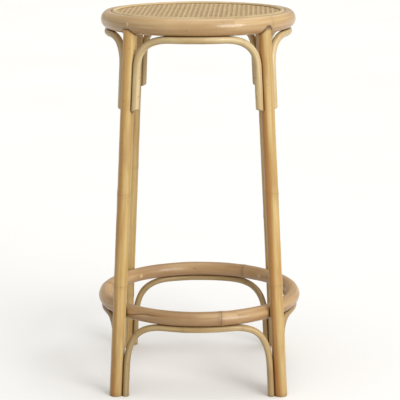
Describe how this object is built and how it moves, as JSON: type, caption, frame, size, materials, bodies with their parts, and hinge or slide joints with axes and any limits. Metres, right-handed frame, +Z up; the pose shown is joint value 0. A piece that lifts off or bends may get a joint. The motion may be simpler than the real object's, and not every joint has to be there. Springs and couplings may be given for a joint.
{
  "type": "bar stool",
  "caption": "Round rattan bar stool with a cane webbing seat, splayed straight legs, bent arches under the seat and a ring footrest.",
  "frame": {"origin": "on the floor, under the centre of the round seat", "axes": "+Z up; -Y to the front; the legs stand at 45 degrees to X and Y"},
  "size_m": [0.4083, 0.4083, 0.74],
  "materials": {
    "rattan_legs": "satin lacquered golden rattan pole",
    "rattan_seat_ring": "satin lacquered pale rattan pole",
    "rattan_footrest": "satin lacquered brown-beige rattan pole",
    "rattan_upper_arches": "satin pale rattan cane",
    "rattan_lower_arches": "satin greyish tan rattan cane",
    "rattan_core": "matt peeled rattan core",
    "cane_webbing": "woven natural cane, satin",
    "plywood": "plain thin plywood",
    "plug_wood": "turned wooden plug, lacquered",
    "steel": "plain steel"
  },
  "bodies": {
    "root": {"seat_ring": "rattan_seat_ring", "seat_board": "plywood", "cane_webbing": "cane_webbing", "seat_edge_spline": "rattan_core", "footrest_ring": "rattan_footrest", "leg_front_left": "rattan_legs", "leg_front_right": "rattan_legs", "leg_back_left": "rattan_legs", "leg_back_right": "rattan_legs", "upper_arch_front": "rattan_upper_arches", "upper_arch_right": "rattan_upper_arches", "upper_arch_back": "rattan_upper_arches", "upper_arch_left": "rattan_upper_arches", "lower_arch_front": "rattan_lower_arches", "lower_arch_right": "rattan_lower_arches", "lower_arch_back": "rattan_lower_arches", "lower_arch_left": "rattan_lower_arches", "leg_top_plugs": "plug_wood", "footrest_plugs": "plug_wood", "leg_top_screws": "steel", "footrest_screws": "steel", "upper_arch_leg_nails": "steel", "upper_arch_ring_nails": "steel", "lower_arch_leg_nails": "steel", "lower_arch_ring_nails": "steel", "seat_ring_scarf_pins": "steel", "footrest_ring_scarf_pins": "steel", "seat_board_pins": "steel", "seat_edge_spline_pins": "steel", "webbing_staples": "steel"}
  },
  "joints": []
}
